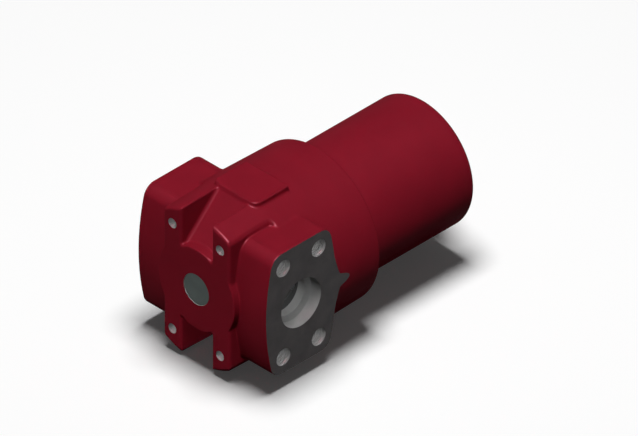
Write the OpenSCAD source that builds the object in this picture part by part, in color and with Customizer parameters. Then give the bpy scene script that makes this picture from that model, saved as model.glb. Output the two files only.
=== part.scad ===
// Hydraulic pressure filter: a cast head with two flanged ports, a screwed-in bowl, and inside
// them a pleated filter element on its spigot and a bypass valve. Millimetres.
// Y runs from the mounting face along the bowl, X through the two ports, and Z is up.
// The origin is the middle of the mounting face.

/* [Head] */
// Radius of the round head at the parting plane of the casting
head_r = 82; // [80:0.5:88]
// Length of the head from its mounting face to its rear rim
head_len = 153.5; // [148:0.5:165]
// Draft angle of the cast outside, away from the parting plane
draft = 1.5; // [0.5:0.1:2.5]
// Distance of the port axis and parting plane from the mounting face
port_y = 51.8; // [50:0.1:55]
// Half width of the front block with its legs
block_half_w = 41.6; // [39:0.2:46]
// Rounding of the cast outer edges
edge_r = 3; // [1:0.5:4]
// Radius of the round boss in the middle of the front
boss_face_r = 48; // [45:0.5:54]
// Half width of the pockets between the legs
pocket_half_w = 19.2; // [16:0.2:22]
// Height at which a pocket's ramp starts on the mounting face
pocket_z = 42; // [38:0.5:46]
// Slope of a pocket's ramp
ramp_angle = 38.6; // [34:0.2:44]
// Fillet between a pocket's ramp and its walls
pocket_fillet = 4; // [2:0.5:6]
// Rounding of the edges between a pocket's walls and the front face
pocket_mouth = 4; // [2:0.5:6]
// Step of that rounding into the pocket, so that its arc crosses the wall
mouth_step = 0.1; // [0.05:0.05:0.4]
// Chamfer at the mouth of the head's rear bore
mouth_chamfer = 1; // [0.5:0.1:1.5]

/* [Mounting holes] */
// Spacing of the mounting holes across
mount_x = 60; // [56:1:64]
// Spacing of the mounting holes in height
mount_z = 115; // [112:1:118]
// Core diameter of the mounting threads
mount_d = 10.2; // [8.5:0.1:12]
// Depth of the mounting holes
mount_depth = 22; // [15:1:26]

/* [Name-plate pad] */
// Half width of the pad on top of the head
pad_half_w = 27.5; // [22:0.5:30]
// Length of the pad
pad_len = 43; // [30:0.5:48]
// Distance of the pad's front wall from the parting plane
pad_lead = 4.8; // [3:0.1:6]
// Height of the pad's face above the highest line of the head
pad_rise = 0.6; // [0.4:0.1:3]
// Rounding of the pad's upper edges
pad_edge_r = 3; // [1:0.5:4]
// Rounding of the pad's front corners
pad_corner_r = 7; // [3:0.5:9]

/* [Ports] */
// Distance of a flange face from the axis
flange_x = 80.4; // [78:0.1:82]
// Half height of a flange
flange_half_h = 65.5; // [63:0.5:70]
// Distance of the middle of a flange's curved edges from the port axis
flange_reach = 44.5; // [42:0.5:47]
// Radius of those curved edges
flange_edge_r = 236; // [180:2:400]
// Rounding of a flange's corners
flange_corner = 14; // [8:1:20]
// Fillet between a flange's rear edge and the round head
flange_blend = 5.5; // [3:0.5:8]
// Flange bolt spacing along the head
flange_bolt_y = 44.45; // [42:0.05:46]
// Flange bolt spacing in height
flange_bolt_z = 96.82; // [94:0.02:98]
// Core diameter of the flange bolt threads
flange_bolt_d = 17.5; // [14:0.1:18]
// Depth of the flange bolt holes
flange_bolt_depth = 31; // [24:1:34]
// Bore of a port at its face
port_d = 50; // [44:0.5:52]
// Depth of that bore
port_depth = 11.3; // [8:0.1:16]
// Bore of a port further in
throat_d = 45; // [40:0.5:46]
// Length of the cone between the two bores
port_cone = 3.7; // [2:0.1:6]

/* [Inside of the head] */
// Radius of the chamber around the element
chamber_r = 53; // [50:0.5:54]
// Distance of the chamber's front wall from the mounting face
chamber_y = 24; // [22:0.5:26]
// Fillet of the chamber's front corner
chamber_fillet = 10; // [6:1:14]
// Outer radius of the cast neck that carries the element
neck_r = 29; // [27:0.5:32]
// Bore of that neck
neck_bore_r = 19; // [18.5:0.1:20]
// Distance of the neck's front end from the chamber's front wall
neck_gap = 6; // [4:0.5:8]
// Thickness of the neck's front end
neck_wall = 6.5; // [5:0.5:8]
// Distance of the neck's rear end from the port axis
neck_reach = 32.2; // [31:0.2:36]
// Outer radius of the duct from the neck to the outlet
duct_r = 27; // [25:0.5:28]
// Bore radius of that duct
duct_bore_r = 18; // [15:0.5:19]
// Thickness of the rib under the duct
rib_t = 12; // [8:1:16]

/* [Bowl] */
// Lead-in chamfer of the bowl's rim and of the valve's and the spigot's ends
lead_in = 1.5; // [1:0.1:2]
// Outer radius of the bowl
bowl_r = 65; // [64:0.1:66]
// Length of the bowl that shows behind the head
bowl_reach = 134; // [110:0.5:200]
// Wall of the bowl
bowl_wall = 12.5; // [11.5:0.1:13]
// Thickness of the bowl's end
bowl_floor = 15.5; // [12:0.5:20]
// Rounding of the bowl's end outside
bowl_end_r = 6; // [3:0.5:10]
// Fillet of the bowl's end inside
bowl_inner_r = 10; // [5:1:12]
// Distance of the seal bore's front end from the mounting face
seal_y = 90; // [88:0.5:94]
// Length of the seal bore
seal_len = 15; // [13:0.5:18]
// Step from the bowl's radius down to its thread
thread_step = 1; // [0.6:0.1:1.6]
// Step from the thread's radius down to the seal bore
seal_step = 3; // [2:0.1:3.5]
// Depth of the relief behind the thread
relief = 2; // [1:0.5:2.5]
// Length of that relief
relief_len = 5; // [3:0.5:8]
// Depth at which the bowl's full diameter enters the head
collar_depth = 5; // [3:0.5:8]
// Width across the flats of the hexagon on the bowl's end
hex_af = 36; // [30:1:46]
// Height of that hexagon
hex_h = 14; // [10:0.5:18]

/* [Seals] */
// Cord diameter of the bowl's O-ring
bowl_ring_d = 3.5; // [3:0.1:4]
// Thickness of the backup ring
backup_t = 1.5; // [1:0.1:2]
// Distance of the seal groove from the bowl's rim
groove_y = 4; // [3:0.5:6]
// Cord diameter of the element's O-ring
element_ring_d = 3; // [2:0.1:3.5]

/* [Indicator port] */
// Radius of the flat plug's head
plug_r = 15.75; // [14:0.25:18]
// Thickness of the plug's head
plug_head_t = 5; // [3:0.5:6]
// Depth of the plug's face below the mounting face
plug_recess = 0.6; // [0.2:0.1:1.5]
// Radius of the plug's thread
plug_thread_r = 10.5; // [8:0.1:12]
// Length of the plug's thread
plug_thread_len = 9; // [7:0.5:11]
// Thickness of the plug's sealing ring
plug_seal_t = 1.5; // [1:0.1:2]
// Diameter of the sensing holes
sense_d = 2.5; // [1.5:0.1:4]
// Wall of the hollow in the plug's thread
plug_wall = 3; // [2:0.5:4]

/* [Spigot] */
// Radius of the spigot's thread in the neck
spigot_thread_r = 20; // [20:0.1:21]
// Length of that thread
spigot_thread_len = 11; // [8:0.5:12]
// Width across the flats of the spigot's hexagon
spigot_af = 46; // [43:0.5:48]
// Thickness of that hexagon
spigot_hex_t = 4; // [3:0.5:6]
// Radius of the nose that the element slides on
nose_r = 19; // [18:0.1:19.5]
// Length of the nose
nose_len = 16; // [14:0.5:20]
// Bore radius of the spigot
spigot_bore_r = 15.5; // [13:0.1:16.5]

/* [Element] */
// Gap for the oil between the element and the bowl
flow_gap = 7.5; // [4:0.5:9]
// Thickness of an end cap's plate
cap_t = 3; // [2:0.25:4]
// Height of an end cap's rim
cap_rim = 6; // [4:0.5:9]
// Wall of an end cap's rim
cap_rim_t = 0.8; // [0.6:0.1:1.2]
// Outer radius of the top cap's collar
collar_r = 25; // [24:0.5:26]
// Length of that collar
collar_len = 12; // [10:0.5:13]
// Wall of the outer sleeve
sleeve_t = 0.8; // [0.6:0.1:1.2]
// Inner radius of the perforated core
core_r = 22; // [20:0.5:23]
// Wall of the perforated core
core_t = 1.2; // [1:0.1:2]
// Diameter of the core's holes
core_hole_d = 7; // [4:0.5:9]
// Spacing of the core's rows of holes
core_pitch = 14; // [11:0.5:20]
// Number of holes in a row of the core
core_holes = 9; // [6:1:12]
// Diameter of the outer sleeve's holes
sleeve_hole_d = 13; // [6:0.5:16]
// Spacing of the sleeve's rows of holes
sleeve_pitch = 20; // [18:0.5:30]
// Number of holes in a row of the sleeve
sleeve_holes = 12; // [8:1:14]
// Number of pleats
pleats = 40; // [30:1:48]
// Thickness of the pleated medium
medium_t = 0.8; // [0.6:0.05:0.9]
// Gap between the element and the bowl's end
element_end_gap = 9; // [5:0.5:15]

/* [Bypass valve] */
// Radius of the valve body's thread in the neck's front end
valve_thread_r = 15; // [14:0.1:16]
// Radius of the valve body's flange
valve_flange_r = 17.8; // [17:0.1:18]
// Thickness of that flange
valve_flange_t = 3.5; // [2.5:0.5:5]
// Outer radius of the valve body's tube
valve_tube_r = 13.8; // [13.2:0.1:14]
// Length of that tube
valve_tube_len = 23; // [22:0.5:26]
// Bore of the tube, in which the poppet slides
poppet_bore_r = 11; // [10.6:0.1:11.4]
// Radius of the opening that the poppet closes
seat_r = 8; // [7:0.1:9]
// Length of the poppet's skirt
skirt_len = 8.5; // [7:0.5:9]
// Wall of the poppet's skirt
skirt_t = 2.4; // [2:0.1:3]
// Stroke of the poppet
poppet_stroke = 5; // [3:0.5:6]
// Wire diameter of the valve spring
wire_d = 1.4; // [1:0.1:1.6]
// Turns of the valve spring
spring_turns = 5; // [4:0.5:7]
// Thickness of the poppet's front wall
poppet_t = 5.4; // [3.5:0.1:6]
// Width of the windows in the valve body's tube
window_w = 6; // [4:0.5:8]
// Radius of the hole in the spring plate
plate_hole_r = 3.5; // [2:0.5:5]
// Thickness of the spring plate
plate_t = 1.6; // [1.2:0.1:2.4]
// Thickness of the retaining ring
circlip_t = 1; // [0.8:0.1:1.4]
// Width of the retaining ring
circlip_w = 2.5; // [2:0.1:3]
// Depth of its groove
circlip_groove = 0.9; // [0.6:0.1:1.2]
// Gap between the retaining ring's ends
circlip_gap = 5; // [3:0.5:7]

/* [Drain] */
// Radius of the drain plug's thread
drain_thread_r = 6.6; // [5:0.1:8]
// Length of that thread
drain_thread_len = 11; // [8:0.5:12]
// Radius of the drain plug's flange
drain_flange_r = 9.5; // [9:0.1:12]
// Thickness of that flange
drain_flange_t = 3.5; // [3:0.5:5]
// Width across the flats of the drain plug's socket
drain_socket_af = 6; // [5:0.5:7]
// Depth of that socket
drain_socket_depth = 5.5; // [4:0.5:8]
// Thickness of the drain plug's sealing ring
drain_seal_t = 1.5; // [1:0.1:2]
// Bore through the bowl's end
drain_bore_r = 3; // [2:0.5:4]

/* [Clearances] */
// Running clearance of threads and sliding fits, on the radius
fit = 0.05; // [0.03:0.01:0.08]
// Radial clearance of rings in their grooves
ring_fit = 0.05; // [0.03:0.01:0.08]
// Gap between faces that stop on each other
face_gap = 0.1; // [0.05:0.05:0.3]

/* [Hidden] */
$fn = 96;
over = 2;

paint_red = [0.50, 0.11, 0.17];
bare_steel = [0.36, 0.37, 0.37];
plug_grey = [0.24, 0.28, 0.27];
seal_black = [0.12, 0.12, 0.13];
medium_white = [0.86, 0.85, 0.80];
zinc = [0.62, 0.64, 0.66];
spring_steel = [0.50, 0.50, 0.52];

head_front_r = head_r - port_y * tan(draft);
head_rear_r = head_r - (head_len - port_y) * tan(draft);
pad_top = head_r + pad_rise;
pad_y = port_y - pad_lead;
neck_front = chamber_y + neck_gap;
neck_floor = neck_front + neck_wall;
neck_end = port_y + neck_reach;
thread_y = seal_y + seal_len;
collar_y = head_len - collar_depth;
mouth_r = bowl_r + 10 * fit;
plug_depth = plug_recess + plug_head_t + plug_seal_t;
plug_bore_end = plug_depth + plug_thread_len + over;

thread_r = bowl_r - thread_step;
seal_r = thread_r - seal_step;
bowl_rim = seal_y + 3 * face_gap;
bowl_end = head_len + bowl_reach;
bowl_inner = bowl_r - bowl_wall;
bowl_floor_y = bowl_end - bowl_floor;
land_r = seal_r - fit;
groove_r = seal_r - bowl_ring_d - 2 * ring_fit;
groove_start = bowl_rim + groove_y;
groove_w = bowl_ring_d + backup_t + 6 * ring_fit;
hex_end = bowl_end + hex_h;

spigot_seat = neck_end + face_gap;
nose_start = spigot_seat + spigot_hex_t;
cap_r = bowl_inner - flow_gap;
collar_bore_r = nose_r + fit;
cap_front = nose_start + 10 * face_gap;
cap_plate = cap_front + collar_len;
cap_inside = cap_plate + cap_t;
element_end = bowl_floor_y - element_end_gap;
bottom_inside = element_end - cap_t;
pleat_outer_r = cap_r - cap_rim_t - sleeve_t - 2 * ring_fit;
pleat_inner_r = core_r + core_t + ring_fit;
element_ring_r = nose_r + element_ring_d + 2 * ring_fit;
element_groove = cap_front + collar_len / 2;

valve_seat = neck_floor + face_gap;
valve_tube_end = valve_seat + valve_flange_t + valve_tube_len;
seat_y = valve_seat + valve_flange_t;
skirt_y = seat_y + poppet_bore_r - seat_r + face_gap;
skirt_end = skirt_y + skirt_len;
plate_y = skirt_end + poppet_stroke + 5 * face_gap;
circlip_y = plate_y + plate_t + face_gap;
spring_r = poppet_bore_r - skirt_t - wire_d / 2 - 4 * fit;
poppet_back = skirt_y - (poppet_bore_r - fit) + seat_r - 1;
spring_start = poppet_back + poppet_t;

// Turns a shape built along Z so that it runs along Y
module along_y(y = 0) {
    translate([0, y, 0]) rotate([-90, 0, 0]) children();
}

// Extrudes an outline drawn in Y and Z along X, from x by the length len
module along_x(x, len) {
    translate([x, 0, 0]) rotate([90, 0, 90]) linear_extrude(len) children();
}

// Solid of revolution about the Y axis, from points of [radius, y]
module turned(points) {
    along_y() rotate_extrude() polygon(points);
}

// Cylinder along Y from y by the length len
module rod_y(r, y, len) {
    along_y(y) cylinder(r = r, h = len);
}

// Ring along Y between two radii
module ring_y(outer, inner, y, len) {
    difference() {
        rod_y(outer, y, len);
        rod_y(inner, y - over, len + 2 * over);
    }
}

// What a rounded corner leaves over: the corner at the origin, its solid in the first quadrant
module corner_waste(r) {
    translate([-over, -over]) difference() {
        square(r + over);
        translate([r + over, r + over]) circle(r);
    }
}

// What the rounded rim of a drafted side leaves over: the rim at the origin, its solid at x < 0
module rim_waste(r) {
    difference() {
        translate([-r, -over]) square([r + over, over + r * (1 - sin(draft))]);
        translate([r * tan(draft) - r / cos(draft), r]) circle(r);
    }
}

// The cast round head, its two halves drafted away from the parting plane
module head_round() {
    along_y() rotate_extrude() difference() {
        polygon([[0, 0], [head_front_r, 0], [head_r, port_y],
                 [head_rear_r, head_len], [0, head_len]]);
        translate([head_front_r, 0]) rim_waste(edge_r);
        translate([head_rear_r, head_len]) mirror([0, 1]) rim_waste(edge_r);
    }
}

// Cuts away the sides of the round head in front of the parting plane, and rounds the block's edge
module side_cut() {
    translate([block_half_w, 0, -head_r - over]) linear_extrude(2 * (head_r + over)) {
        translate([0, -over]) square([head_r, port_y + over]);
        rotate(90) corner_waste(edge_r);
    }
}

// Outline of a port flange about its port: two curved edges that run into rounded corners
module flange_outline() {
    arc_z = flange_edge_r - flange_reach;
    corner_z = flange_half_h - flange_corner;
    corner_y = sqrt(pow(flange_edge_r - flange_corner, 2) - pow(corner_z, 2)) - arc_z;
    edge_half_h = corner_z * flange_edge_r / (flange_edge_r - flange_corner);
    intersection() {
        translate([arc_z, 0]) circle(flange_edge_r, $fn = 720);
        translate([-arc_z, 0]) circle(flange_edge_r, $fn = 720);
        translate([-flange_reach, -edge_half_h]) square([2 * flange_reach, 2 * edge_half_h]);
    }
    translate([-corner_y, -flange_half_h]) square([2 * corner_y, 2 * flange_half_h]);
    for (y = [-1, 1], z = [-1, 1]) translate([y * corner_y, z * corner_z]) circle(flange_corner);
}

// Cast fillet where the rear edges of the flanges run out into the round head
module flange_fillet() {
    wall_y = port_y + flange_reach;
    root_r = head_r - flange_reach * tan(draft) - over / 4;
    sag = flange_blend / 6;
    half_h = sqrt(pow(flange_edge_r, 2) - pow(flange_edge_r - sag, 2));
    intersection() {
        along_y() rotate_extrude() difference() {
            translate([root_r - flange_blend, wall_y - sag - flange_blend])
                square([2 * flange_blend, 2 * flange_blend]);
            translate([root_r + flange_blend, wall_y - sag + flange_blend]) circle(flange_blend);
        }
        translate([-flange_x, port_y, -half_h]) cube([2 * flange_x, head_len - port_y, 2 * half_h]);
    }
}

// Both port flanges with their rear fillets
module flanges() {
    translate([0, port_y, 0]) along_x(-flange_x, 2 * flange_x) flange_outline();
    flange_fillet();
}

// Raised pad for a name plate, with rounded corners and upper edges
module plate_pad() {
    deep = pad_top / 4;
    intersection() {
        translate([0, pad_y, pad_top - deep]) linear_extrude(deep) difference() {
            translate([-pad_half_w, 0]) square([2 * pad_half_w, pad_len]);
            for (side = [0, 1]) mirror([side, 0]) {
                translate([-pad_half_w, 0]) corner_waste(pad_corner_r);
                translate([-pad_half_w, pad_len]) rotate(-90) corner_waste(edge_r);
            }
        }
        translate([0, pad_y, 0]) rotate([90, 0, 0]) mirror([0, 0, 1]) linear_extrude(pad_len)
            difference() {
                translate([-pad_half_w, 0]) square([2 * pad_half_w, pad_top]);
                for (side = [0, 1]) mirror([side, 0])
                    translate([-pad_half_w, pad_top]) rotate(-90) corner_waste(pad_edge_r);
            }
        along_x(-head_r, 2 * head_r) difference() {
            translate([pad_y, 0]) square([pad_len, pad_top]);
            translate([pad_y, pad_top]) rotate(-90) corner_waste(pad_edge_r);
            translate([pad_y + pad_len, pad_top]) rotate(180) corner_waste(pad_edge_r);
        }
    }
}

// Pocket between the legs at the top: a ramp with rounded inner edges and a flared mouth
module pocket() {
    reach = head_len;
    translate([0, 0, pocket_z]) rotate([ramp_angle, 0, 0]) translate([0, -reach / 2, 0])
        rotate([-90, 0, 0]) mirror([0, 1, 0]) linear_extrude(reach * 1.2) difference() {
            translate([-pocket_half_w, 0]) square([2 * pocket_half_w, reach]);
            for (side = [0, 1]) mirror([side, 0])
                translate([-pocket_half_w, 0]) corner_waste(pocket_fillet);
        }
    for (side = [0, 1]) mirror([side, 0, 0])
        translate([pocket_half_w - mouth_step, 0, pocket_z + pocket_mouth])
            linear_extrude(head_r) corner_waste(pocket_mouth);
}

// Space of one port, cut from its face inwards to the depth x_in
module port_space(x_in) {
    rotate([90, 0, 0]) rotate([0, 90, 0]) rotate_extrude() polygon([
        [0, x_in], [throat_d / 2, x_in],
        [throat_d / 2, flange_x - port_depth - port_cone],
        [port_d / 2, flange_x - port_depth],
        [port_d / 2, flange_x + over], [0, flange_x + over]
    ]);
}

// Tapped hole with its drill point, from z = 0 down
module tapped_hole(d, depth) {
    rotate_extrude() polygon([
        [0, over], [d / 2, over], [d / 2, -depth], [0, -depth - d / 2 * tan(31)]
    ]);
}

// Chamber around the element with the seal bore and the thread for the bowl
module head_chamber() {
    along_y() rotate_extrude() difference() {
        polygon([
            [0, chamber_y], [chamber_r, chamber_y], [chamber_r, seal_y],
            [seal_r, seal_y], [seal_r, thread_y - seal_step + thread_step],
            [thread_r + fit, thread_y], [thread_r + fit, collar_y - thread_step],
            [mouth_r, collar_y], [mouth_r, head_len - mouth_chamfer],
            [mouth_r + mouth_chamfer, head_len], [mouth_r + mouth_chamfer, head_len + over],
            [0, head_len + over]
        ]);
        translate([chamber_r, chamber_y]) rotate(90) corner_waste(chamber_fillet);
    }
}

// Cast neck, duct and rib that stand in the chamber
module neck() {
    rod_y(neck_r, neck_front, neck_end - neck_front);
    translate([-chamber_r - over, port_y, 0]) rotate([0, 90, 0]) cylinder(r = duct_r, h = chamber_r);
    translate([-chamber_r - over, chamber_y - over, -rib_t / 2])
        cube([chamber_r + over, port_y - chamber_y + over, rib_t]);
}

// Clean-oil passage: duct from the outlet, bore of the neck, and the threads at its two ends
module neck_space() {
    translate([-chamber_r - over, port_y, 0]) rotate([0, 90, 0])
        cylinder(r = duct_bore_r, h = chamber_r + over);
    rod_y(neck_bore_r, neck_floor, neck_end - neck_floor + over);
    rod_y(spigot_thread_r + fit, neck_end - spigot_thread_len - 1, spigot_thread_len + 1 + over);
    rod_y(valve_thread_r + fit, neck_front - over, neck_wall + 2 * over);
}

// Indicator port with its two sensing holes
module indicator_space() {
    rod_y(plug_r + 5 * fit, -over, plug_depth + over);
    rod_y(plug_thread_r + fit, 0, plug_bore_end);
    translate([plug_thread_r / 2, 0, 0]) rod_y(sense_d / 2, plug_bore_end - over, chamber_y);
    clean_from = [-plug_thread_r / 2, plug_bore_end - 1, 0];
    clean_to = [-neck_r - 3, port_y - duct_bore_r + over, 0];
    run = clean_to - clean_from;
    translate(clean_from) rotate([0, 0, -atan2(run[0], run[1])]) rotate([-90, 0, 0])
        cylinder(d = sense_d, h = norm(run));
}

// The cast outside of the head: drum, front block, boss and flanges, then the pockets and the pad
module casting() {
    difference() {
        union() {
            difference() {
                head_round();
                for (side = [0, 1]) mirror([side, 0, 0]) side_cut();
            }
            rod_y(boss_face_r, 0, port_y / 2);
            flanges();
        }
        for (side = [0, 1]) mirror([0, 0, side]) pocket();
    }
    plate_pad();
}

module filter_head() color(paint_red) difference() {
    casting();
    for (side = [0, 1]) mirror([side, 0, 0]) translate([flange_x, -over, -head_r])
        cube([head_r, head_len + 2 * over, 2 * head_r]);
    difference() {
        head_chamber();
        neck();
    }
    neck_space();
    indicator_space();
    translate([0, port_y, 0]) port_space(chamber_r - throat_d / 4);
    translate([0, port_y, 0]) mirror([1, 0, 0]) port_space(chamber_r);
    for (x = [-1, 1], z = [-1, 1])
        translate([x * mount_x / 2, 0, z * mount_z / 2]) rotate([90, 0, 0])
            tapped_hole(mount_d, mount_depth);
    for (side = [0, 1], y = [-1, 1], z = [-1, 1]) mirror([side, 0, 0])
        translate([flange_x, port_y + y * flange_bolt_y / 2, z * flange_bolt_z / 2])
            rotate([0, 90, 0]) tapped_hole(flange_bolt_d, flange_bolt_depth);
}

module filter_bowl() color(paint_red) difference() {
    union() {
        along_y() rotate_extrude() difference() {
            polygon([
                [0, bowl_rim], [land_r - lead_in, bowl_rim], [land_r, bowl_rim + 2 * lead_in],
                [land_r, thread_y - seal_step + thread_step],
                [thread_r - lead_in, thread_y + thread_step],
                [thread_r, thread_y + thread_step + lead_in],
                [thread_r, collar_y - relief_len],
                [thread_r - relief, collar_y - relief_len + relief],
                [thread_r - relief, collar_y + thread_step],
                [bowl_r, collar_y + 2 * thread_step],
                [bowl_r, bowl_end], [0, bowl_end]
            ]);
            translate([bowl_r, bowl_end]) rotate(180) corner_waste(bowl_end_r);
        }
        along_y(bowl_end - 1) cylinder(d = hex_af / cos(30), h = hex_h + 1, $fn = 6);
    }
    along_y() rotate_extrude() difference() {
        polygon([[0, bowl_rim - over], [bowl_inner, bowl_rim - over],
                 [bowl_inner, bowl_floor_y], [0, bowl_floor_y]]);
        translate([bowl_inner, bowl_floor_y]) rotate(180) corner_waste(bowl_inner_r);
    }
    ring_y(seal_r + over, groove_r, groove_start, groove_w);
    rod_y(drain_thread_r + fit, hex_end - drain_thread_len - 1, drain_thread_len + 1 + over);
    rod_y(drain_bore_r, bowl_floor_y - over, bowl_floor + hex_h);
}

module bowl_o_ring() color(seal_black)
    along_y(groove_start + backup_t + 4 * ring_fit + bowl_ring_d / 2) rotate_extrude()
        translate([seal_r - ring_fit - bowl_ring_d / 2, 0]) circle(d = bowl_ring_d, $fn = 32);

module bowl_backup_ring() color(medium_white)
    ring_y(seal_r - ring_fit, groove_r + ring_fit, groove_start + ring_fit, backup_t);

module indicator_port_plug() color(plug_grey) difference() {
    union() {
        rod_y(plug_r, plug_recess, plug_head_t);
        rod_y(plug_thread_r, plug_recess + 1, plug_depth + plug_thread_len - plug_recess - 1);
    }
    rod_y(plug_thread_r - plug_wall, plug_depth + over, plug_thread_len);
}

module indicator_plug_seal() color(seal_black)
    ring_y(plug_r - 1, plug_thread_r + 2 * fit, plug_recess + plug_head_t, plug_seal_t);

module element_spigot() color(zinc) difference() {
    union() {
        rod_y(spigot_thread_r, spigot_seat - spigot_thread_len, spigot_thread_len + 1);
        along_y(spigot_seat) cylinder(d = spigot_af / cos(30), h = spigot_hex_t, $fn = 6);
        turned([[0, spigot_seat], [nose_r, spigot_seat],
                [nose_r, nose_start + nose_len - lead_in],
                [nose_r - lead_in, nose_start + nose_len], [0, nose_start + nose_len]]);
    }
    rod_y(spigot_bore_r, spigot_seat - spigot_thread_len - over,
          spigot_thread_len + spigot_hex_t + nose_len + 2 * over);
}

module bypass_body() color(zinc) difference() {
    union() {
        rod_y(valve_thread_r, valve_seat - neck_wall, neck_wall + 1);
        rod_y(valve_flange_r, valve_seat, valve_flange_t);
        rod_y(valve_tube_r, valve_seat, valve_flange_t + valve_tube_len);
    }
    turned([[0, valve_seat - neck_wall - over], [seat_r, valve_seat - neck_wall - over],
            [seat_r, seat_y], [poppet_bore_r, seat_y + poppet_bore_r - seat_r],
            [poppet_bore_r, valve_tube_end + over], [0, valve_tube_end + over]]);
    ring_y(poppet_bore_r + circlip_groove, seat_r, circlip_y - face_gap, circlip_t + 2 * face_gap);
    for (turn = [0:60:120]) rotate([0, turn, 0])
        translate([-valve_tube_r - over, skirt_y + 5 * face_gap, -window_w / 2])
            cube([2 * (valve_tube_r + over), skirt_len, window_w]);
}

module bypass_poppet() color(bare_steel) {
    slide_r = poppet_bore_r - fit;
    nose_flat = slide_r - skirt_y + poppet_back;
    turned([[0, poppet_back], [nose_flat, poppet_back], [slide_r, skirt_y], [slide_r, skirt_end],
            [poppet_bore_r - skirt_t, skirt_end], [poppet_bore_r - skirt_t, spring_start],
            [0, spring_start]]);
}

// Points of a coil spring's wire, ring by ring, with closed ends
function spring_height(turn, length, turns) =
    let(dead = 0.75, pitch = (length - 2 * dead * wire_d) / (turns - 2 * dead))
    turn < dead ? turn * wire_d
    : turn > turns - dead ? length - (turns - turn) * wire_d
    : dead * wire_d + (turn - dead) * pitch;

function spring_points(radius, length, turns, steps, sides) = [
    for (i = [0:steps], k = [0:sides - 1])
        let(turn = turns * i / steps, a = 360 * turn, b = 360 * k / sides,
            r = radius + wire_d / 2 * cos(b))
        [r * cos(a), r * sin(a), spring_height(turn, length, turns) + wire_d / 2 * sin(b)]
];

function tube_faces(steps, sides) = concat(
    [[for (k = [0:sides - 1]) k]],
    [for (i = [0:steps - 1], k = [0:sides - 1]) let(n = (k + 1) % sides)
        [i * sides + k, (i + 1) * sides + k, (i + 1) * sides + n, i * sides + n]],
    [[for (k = [sides - 1:-1:0]) steps * sides + k]]
);

module bypass_spring() color(spring_steel) {
    steps = ceil(spring_turns * 16);
    sides = 8;
    length = plate_y - spring_start - wire_d - 2 * face_gap;
    along_y(spring_start + face_gap + wire_d / 2) polyhedron(
        points = spring_points(spring_r, length, spring_turns, steps, sides),
        faces = tube_faces(steps, sides), convexity = 10);
}

module bypass_spring_plate() color(zinc)
    ring_y(poppet_bore_r - fit, plate_hole_r, plate_y, plate_t);

module bypass_circlip() color(spring_steel) difference() {
    outer = poppet_bore_r + circlip_groove - ring_fit;
    ring_y(outer, outer - circlip_w, circlip_y, circlip_t);
    translate([0, circlip_y - over, -circlip_gap / 2])
        cube([outer + over, circlip_t + 2 * over, circlip_gap]);
}

module element_top_cap() color(zinc) difference() {
    union() {
        rod_y(collar_r, cap_front, collar_len + 1);
        rod_y(cap_r, cap_plate, cap_t + cap_rim);
    }
    rod_y(collar_bore_r, cap_front - over, collar_len + cap_t + 2 * over);
    ring_y(element_ring_r, nose_r - over, element_groove - element_ring_d / 2 - 3 * ring_fit,
           element_ring_d + 6 * ring_fit);
    rod_y(cap_r - cap_rim_t, cap_inside, cap_rim + over);
}

module element_o_ring() color(seal_black)
    along_y(element_groove) rotate_extrude()
        translate([nose_r + ring_fit + element_ring_d / 2, 0]) circle(d = element_ring_d, $fn = 32);

module element_bottom_cap() color(zinc) difference() {
    rod_y(cap_r, bottom_inside - cap_rim, cap_rim + cap_t);
    rod_y(cap_r - cap_rim_t, bottom_inside - cap_rim - over, cap_rim + over);
}

// Staggered rows of holes through the wall of a tube, between two ends
module wall_holes(outer, wall, hole_d, pitch, from, to, around) {
    rows = floor((to - from - hole_d) / pitch);
    first = (from + to - (rows - 1) * pitch) / 2;
    for (i = [0:rows - 1], k = [0:around - 1])
        translate([0, first + i * pitch, 0]) rotate([0, (k + (i % 2) / 2) * 360 / around, 0])
            translate([0, 0, outer - wall - 1]) cylinder(d = hole_d, h = wall + 2, $fn = 24);
}

module element_core() color(bare_steel) difference() {
    ring_y(core_r + core_t, core_r, cap_inside + face_gap, bottom_inside - cap_inside - 2 * face_gap);
    wall_holes(core_r + core_t, core_t, core_hole_d, core_pitch,
               cap_inside, bottom_inside, core_holes);
}

module element_outer_wrap() color(bare_steel) difference() {
    outer = cap_r - cap_rim_t - ring_fit;
    ring_y(outer, outer - sleeve_t, cap_inside + face_gap, bottom_inside - cap_inside - 2 * face_gap);
    wall_holes(outer, sleeve_t, sleeve_hole_d, sleeve_pitch,
               cap_inside + cap_rim, bottom_inside - cap_rim, sleeve_holes);
}

// One side of the pleated band: for each pleat, a fold at the outside and one at the inside
function pleat_side(tip_r, tip_half, valley_r, valley_half) = [
    for (i = [0:pleats - 1], p = [
        [tip_r, -tip_half], [tip_r, tip_half],
        [valley_r, 180 * valley_r / pleats * PI / 180 - valley_half],
        [valley_r, 180 * valley_r / pleats * PI / 180 + valley_half]])
        let(a = 360 * i / pleats + p[1] / p[0] * 180 / PI)
        [p[0] * cos(a), p[0] * sin(a)]
];

module element_pleats() color(medium_white) {
    tip_gap = 0.5;
    valley_gap = 0.4;
    along_y(cap_inside + face_gap) linear_extrude(bottom_inside - cap_inside - 2 * face_gap)
        difference() {
            polygon(pleat_side(pleat_outer_r, medium_t + tip_gap,
                               pleat_inner_r + medium_t, valley_gap));
            polygon(pleat_side(pleat_outer_r - medium_t, tip_gap,
                               pleat_inner_r, valley_gap + medium_t));
        }
}

module drain_plug() color(zinc) difference() {
    union() {
        rod_y(drain_thread_r, hex_end - drain_thread_len, drain_thread_len + drain_seal_t + 1);
        rod_y(drain_flange_r, hex_end + drain_seal_t, drain_flange_t);
    }
    along_y(hex_end + drain_seal_t + drain_flange_t - drain_socket_depth)
        cylinder(d = drain_socket_af / cos(30), h = drain_socket_depth + over, $fn = 6);
}

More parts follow.
